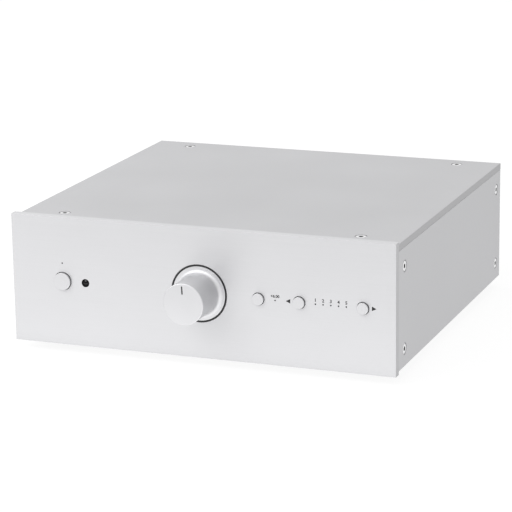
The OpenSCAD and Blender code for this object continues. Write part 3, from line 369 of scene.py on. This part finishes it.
def circuit_board(name):
    """Green lacquer over copper tracks and pads."""
    s = Shader(name, 0.35)
    cells = s.add("TexVoronoi", feature="F1", distance="CHEBYCHEV")
    cells.inputs["Scale"].default_value = 260.0
    s.link(s.place(), cells.inputs["Vector"])
    tracks = s.spread(cells.outputs["Distance"], 0, 1, 0.36, 0.44)
    weave = s.noise(s.place(), 1800.0, 2.0)
    s.colour(s.blend(tracks, (0.018, 0.13, 0.06), (0.045, 0.21, 0.09)))
    s.rough(s.spread(weave, 0.28, 0.42))
    s.bump(s.calc("ADD", tracks, s.calc("MULTIPLY", weave, 0.1)), 2e-5)
    return s.material


def flat_cable(name):
    """Grey ribbon cable: round wires side by side, with painted shade darkening the grooves between
    them.
    """
    s = Shader(name, 0.45)
    wave = s.add("TexWave", wave_type="BANDS", bands_direction="X", wave_profile="SIN")
    wave.inputs["Scale"].default_value = 250.0
    s.link(s.place(), wave.inputs["Vector"])
    wire_profile_and_painted_shade = wave.outputs["Fac"]
    # Painted shade: the colour darkens from the wires' crests into the grooves between them.
    s.colour(s.blend(wire_profile_and_painted_shade, (0.30, 0.31, 0.33), (0.46, 0.47, 0.49)))
    s.rough(s.spread(wire_profile_and_painted_shade, 0.55, 0.40, 0, 1))
    s.bump(wire_profile_and_painted_shade, 2e-4)
    return s.material


def smoked(name, mesh):
    """Smoked polished plastic, almost black, with a painted highlight and a painted reflection of
    the round eye behind it.
    """
    s = Shader(name, 0.12, 0.0, {"Specular IOR Level": 0.12})
    axes = s.axes()
    xs = [v.co.x for v in mesh.vertices]
    zs = [v.co.z for v in mesh.vertices]
    x = (min(xs) + max(xs)) / 2
    z = (min(zs) + max(zs)) / 2
    # Painted highlight: a pale spot near the top of the window. Painted reflection: a pale arc in
    # its lower half.
    painted_highlight = s.spread(s.radius(axes, x, z + PAINTED_HIGHLIGHT_UP * MM), 1, 0, 0.15 * MM, 0.65 * MM)
    off_painted_reflection_arc = s.calc("SUBTRACT", s.radius(axes, x, z + PAINTED_REFLECTION_ARC_UP * MM), PAINTED_REFLECTION_ARC_R * MM)
    painted_reflection_arc = s.spread(s.calc("MULTIPLY", off_painted_reflection_arc, off_painted_reflection_arc), 0.3, 0, 0.0, (PAINTED_REFLECTION_ARC_HALF_W * MM) ** 2)
    lower_half = s.spread(axes["Z"], 1, 0, z - 0.2 * MM, z + 0.2 * MM)
    painted_highlight_and_reflection = s.calc("MAXIMUM", painted_highlight, s.calc("MULTIPLY", painted_reflection_arc, lower_half))
    swirl = s.noise(s.place(), 700.0, 3.0)
    # The painted highlight and reflection, plus a faint random swirl, set the colour.
    shade = s.calc("ADD", painted_highlight_and_reflection, s.calc("MULTIPLY", swirl, 0.018))
    s.colour(s.blend(shade, (0.003, 0.002, 0.003), (0.20, 0.195, 0.20)))
    s.rough(s.spread(swirl, 0.09, 0.16))
    return s.material


def printed(name, colour):
    """Silk-screen ink with a slightly ragged, uneven coat."""
    s = Shader(name, 0.6)
    coat = s.noise(s.place(), 4200.0, 4.0, 0.65)
    s.colour(s.blend(s.spread(coat, 0, 1), scaled(colour, 0.8), scaled(colour, 1.3)))
    s.rough(s.spread(coat, 0.5, 0.7))
    s.bump(coat, 3e-6)
    return s.material


# Middles of the turned pieces, as x and z in metres
axis_z = (MID_Z + STAND_H) * MM
knob_axis = (0.0, axis_z)
button_xs = (POWER_X, GAIN_X, INPUT_X - SELECTOR_STEP, INPUT_X + SELECTOR_STEP)
button_axes = [(x * MM, axis_z) for x in button_xs]

# Looks of the record's material slots
looks = {
    "panel_aluminium": brushed("panel_aluminium", 0.625, 0.50, PAINTED_SHADE_PANEL_SIDES, PAINTED_SHADE_PANEL_TOP),
    "case_aluminium": blasted("case_aluminium", 0.565, 0.54),
    "base_aluminium": blasted("base_aluminium", 0.52, 0.45),
    "rear_aluminium": blasted("rear_aluminium", 0.54, 0.46),
    "tray_steel": plated("tray_steel", (0.52, 0.53, 0.54), 0.36),
    "screw_steel": plated("screw_steel", SCREW_COLOUR, SCREW_ROUGHNESS),
    "zinc_screws": plated("zinc_screws", (0.60, 0.60, 0.58), 0.30),
    "black_steel": plated("black_steel", (0.06, 0.06, 0.065), 0.35),
    "shaft_steel": turned("shaft_steel", 0.55, 0.25, [knob_axis], 9e-5),
    "motor_steel": plated("motor_steel", (0.58, 0.58, 0.59), 0.32),
    "knob_aluminium": turned("knob_aluminium", 0.66, 0.45, [knob_axis], 1.1e-4),
    "button_aluminium": turned("button_aluminium", 0.64, 0.45, button_axes, 1.1e-4),
    "black_aluminium": blasted("black_aluminium", 0.05, 0.5, 2e-6),
    "brass": plated("brass", (0.66, 0.50, 0.22), 0.30),
    "gold_plate": plated("gold_plate", (0.80, 0.60, 0.26), 0.20),
    "foot_rubber": moulded("foot_rubber", (0.022, 0.022, 0.024), 0.72, 1500.0, 3e-5),
    "trim_black": moulded("trim_black", (0.028, 0.028, 0.030), 0.55),
    "black_plastic": moulded("black_plastic", (0.030, 0.030, 0.032), 0.45),
    "blue_plastic": moulded("blue_plastic", (0.030, 0.050, 0.150), 0.40),
    "white_nylon": moulded("white_nylon", (0.62, 0.60, 0.54), 0.45, 1800.0, 8e-6),
    "insert_white": moulded("insert_white", (0.70, 0.70, 0.67), 0.40, 1800.0, 6e-6),
    "insert_red": moulded("insert_red", (0.42, 0.02, 0.018), 0.40, 1800.0, 6e-6),
    "window_smoke": smoked("window_smoke", nodes["remote_window"].data),
    "light_guide": moulded(
        "light_guide", (0.015, 0.015, 0.017), 0.30, 1400.0, 3e-6, {"Specular IOR Level": 0.2}
    ),
    "board_green": circuit_board("board_green"),
    "ribbon_grey": flat_cable("ribbon_grey"),
}

# Nodes that look a little different from the rest of their slot; the case screws carry painted
# shade in their sockets
own_looks = {
    "top_cover": blasted("cover_aluminium", 0.54, 0.54, end=COVER_END),
    "case_screws": screws_with_painted_socket_shade(
        "case_screw_steel_painted_socket_shade", SCREW_COLOUR, SCREW_ROUGHNESS, nodes["case_screws"].data
    ),
}

for part in frame["record"]["subparts"]:
    mesh = nodes[part["node"]].data
    mesh.materials.clear()
    mesh.materials.append(own_looks.get(part["node"], looks[part["material_slot"]]))

ink = printed("ink_dark", (0.020, 0.020, 0.021))


def piece(name, mesh, body):
    """A mesh of ink in the row frame that rides on a body."""
    obj = bpy.data.objects.new(name, mesh)
    scene.collection.objects.link(obj)
    mesh.materials.clear()
    mesh.materials.append(ink)
    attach(obj, body)


def extruded(name, outline, y_front, y_back):
    """A flat shape with its outline in x and z, from y_front to y_back, all in millimetres."""
    bm = bmesh.new()
    front = [bm.verts.new(at(x, y_front, z)) for x, z in outline]
    back = [bm.verts.new(at(x, y_back, z)) for x, z in outline]
    count = len(outline)
    bm.faces.new(front)
    bm.faces.new(back[::-1])
    for i in range(count):
        j = (i + 1) % count
        bm.faces.new((front[j], front[i], back[i], back[j]))
    bmesh.ops.recalc_face_normals(bm, faces=bm.faces)
    mesh = bpy.data.meshes.new(name)
    bm.to_mesh(mesh)
    bm.free()
    return mesh


def rounded(points, radius):
    """The outline with each corner rounded in four steps."""
    steps = 4
    out = []
    count = len(points)
    for i in range(count):
        p = Vector(points[i])
        before = (Vector(points[i - 1]) - p).normalized()
        after = (Vector(points[(i + 1) % count]) - p).normalized()
        half = before.angle(after) / 2
        reach = radius / math.tan(half)
        start = p + before * reach
        end = p + after * reach
        centre = p + (before + after).normalized() * (radius / math.sin(half))
        for k in range(steps + 1):
            way = (start - centre).lerp(end - centre, k / steps).normalized()
            out.append(tuple(centre + way * radius))
    return out


def numeral(name, text, x, z, height, y, facing, bold=0.0):
    """Printed numerals centred on x with their foot at z, facing the front (-1) or the back (1)."""
    curve = bpy.data.curves.new(name, "FONT")
    curve.body = text
    curve.align_x = "CENTER"
    curve.extrude = INK / 2
    curve.offset = bold
    curve.resolution_u = 4
    source = bpy.data.objects.new(name + "_source", curve)
    scene.collection.objects.link(source)
    graph = bpy.context.evaluated_depsgraph_get()
    mesh = bpy.data.meshes.new_from_object(source.evaluated_get(graph))
    bpy.data.objects.remove(source)
    bpy.data.curves.remove(curve)
    low = min(v.co.y for v in mesh.vertices)
    high = max(v.co.y for v in mesh.vertices)
    left = min(v.co.x for v in mesh.vertices)
    right = max(v.co.x for v in mesh.vertices)
    scale = height / (high - low)
    for v in mesh.vertices:
        across = (v.co.x - (left + right) / 2) * scale
        rise = (v.co.y - low) * scale
        out = INK / 2 + v.co.z
        v.co = at(x - facing * across, y + facing * out, z + rise)
    mesh.name = name
    piece(name, mesh, "case")


def arrow(name, way):
    """A printed arrow head outside a selector button, pointing left (-1) or right (1)."""
    x = INPUT_X + way * ARROW_STEP
    tip = x + way * ARROW_TIP
    tail = x - way * ARROW_TAIL
    corners = [(tip, ARROW_Z), (tail, ARROW_Z + ARROW_HALF_H), (tail, ARROW_Z - ARROW_HALF_H)]
    piece(name, extruded(name, rounded(corners, ARROW_ROUND), -INK, 0), "case")


def pointer_inlay():
    """Paint in the knob's pointer groove."""
    w = POINTER_HALF_W
    corners = [(-w, POINTER_IN), (w, POINTER_IN), (w, POINTER_OUT), (-w, POINTER_OUT)]
    lean = Matrix.Rotation(POINTER_LEAN, 2)
    outline = [lean @ Vector(p) for p in rounded(corners, POINTER_ROUND)]
    outline = [(p.x, p.y + MID_Z) for p in outline]
    y = POINTER_SINK - KNOB_OUT
    piece("pointer_inlay", extruded("pointer_inlay", outline, y, y + POINTER_T), "volume_control")


for i in range(INPUT_COUNT):
    numeral(
        f"input_number_{i + 1}",
        str(i + 1),
        x=INPUT_X + INPUT_PITCH * (i - (INPUT_COUNT - 1) / 2),
        z=INPUT_NUMBER_Z,
        height=INPUT_NUMBER_H,
        y=0,
        facing=-1,
        bold=INPUT_NUMBER_BOLD,
    )
numeral(
    "gain_number",
    "+6.00",
    x=GAIN_NUMBER_X,
    z=GAIN_NUMBER_Z,
    height=GAIN_NUMBER_H,
    y=0,
    facing=-1,
    bold=GAIN_NUMBER_BOLD,
)
arrow("arrow_down", -1)
arrow("arrow_up", 1)
pointer_inlay()
for i in range(INPUT_COUNT):
    numeral(
        f"socket_number_{i + 1}",
        str(i + 1),
        x=SOCKET_X + SOCKET_PITCH * i,
        z=SOCKET_NUMBER_Z,
        height=SOCKET_NUMBER_H,
        y=CASE_D,
        facing=1,
    )


def soft_box(name, place, target, width, height, power):
    data = bpy.data.lights.new(name, "AREA")
    data.shape = "RECTANGLE"
    data.size = width
    data.size_y = height
    data.energy = power
    lamp = bpy.data.objects.new(name, data)
    lamp.location = place
    lamp.rotation_mode = "QUATERNION"
    lamp.rotation_quaternion = (Vector(target) - Vector(place)).to_track_quat("-Z", "Y")
    scene.collection.objects.link(lamp)


soft_box("key", (-0.55, -1.05, 1.22), (0, -0.09, 0.035), width=2.2, height=0.9, power=10)
soft_box("fill", (-0.5, -0.45, 0.25), (-0.1, -0.09, 0.035), width=0.25, height=0.4, power=0.3)
soft_box("top", (0.0, 0.2, 1.6), (0, 0, 0), width=1.6, height=1.6, power=2)
soft_box("rim", (-1.3, 0.55, 0.6), (0, -0.05, 0.07), width=1.0, height=1.0, power=4.5)
soft_box("bounce", (-0.03, -0.145, 0.002), (-0.03, -0.145, 1), width=0.6, height=0.1, power=0.075)


def seen_rays(tree):
    """1 for camera, glossy and transmission rays, 0 for the rest."""
    path = tree.nodes.new("ShaderNodeLightPath")
    total = path.outputs["Is Camera Ray"]
    for ray in ("Is Glossy Ray", "Is Transmission Ray"):
        node = tree.nodes.new("ShaderNodeMath")
        node.operation = "MAXIMUM"
        tree.links.new(total, node.inputs[0])
        tree.links.new(path.outputs[ray], node.inputs[1])
        total = node.outputs["Value"]
    return total


def make_world(ambient):
    """White where it is seen, with a lower strength as light."""
    world = bpy.data.worlds.new("studio")
    world.use_nodes = True
    tree = world.node_tree
    background = tree.nodes["Background"]
    background.inputs["Color"].default_value = (1, 1, 1, 1)
    level = tree.nodes.new("ShaderNodeMapRange")
    level.inputs["To Min"].default_value = ambient
    level.inputs["To Max"].default_value = 1.0
    tree.links.new(seen_rays(tree), level.inputs["Value"])
    tree.links.new(level.outputs["Result"], background.inputs["Strength"])
    scene.world = world


def make_floor(glow, bounce):
    """A pale floor that looks white, with the object's soft shadow on it."""
    mesh = bpy.data.meshes.new("floor")
    side = 12.0
    corners = [(-side, -side, 0), (side, -side, 0), (side, side, 0), (-side, side, 0)]
    mesh.from_pydata(corners, [], [(0, 1, 2, 3)])
    floor = bpy.data.objects.new("floor", mesh)
    scene.collection.objects.link(floor)
    material = bpy.data.materials.new("floor")
    material.use_nodes = True
    tree = material.node_tree
    tree.nodes.remove(tree.nodes["Principled BSDF"])
    diffuse = tree.nodes.new("ShaderNodeBsdfDiffuse")
    diffuse.inputs["Color"].default_value = (bounce, bounce, bounce, 1)
    light = tree.nodes.new("ShaderNodeEmission")
    level = tree.nodes.new("ShaderNodeMath")
    level.operation = "MULTIPLY"
    level.inputs[1].default_value = glow
    tree.links.new(seen_rays(tree), level.inputs[0])
    tree.links.new(level.outputs["Value"], light.inputs["Strength"])
    add = tree.nodes.new("ShaderNodeAddShader")
    tree.links.new(diffuse.outputs["BSDF"], add.inputs[0])
    tree.links.new(light.outputs["Emission"], add.inputs[1])
    tree.links.new(add.outputs["Shader"], tree.nodes["Material Output"].inputs["Surface"])
    mesh.materials.append(material)


make_world(ambient=0.45)
make_floor(glow=0.87, bounce=0.22)
scene.view_settings.view_transform = "Standard"
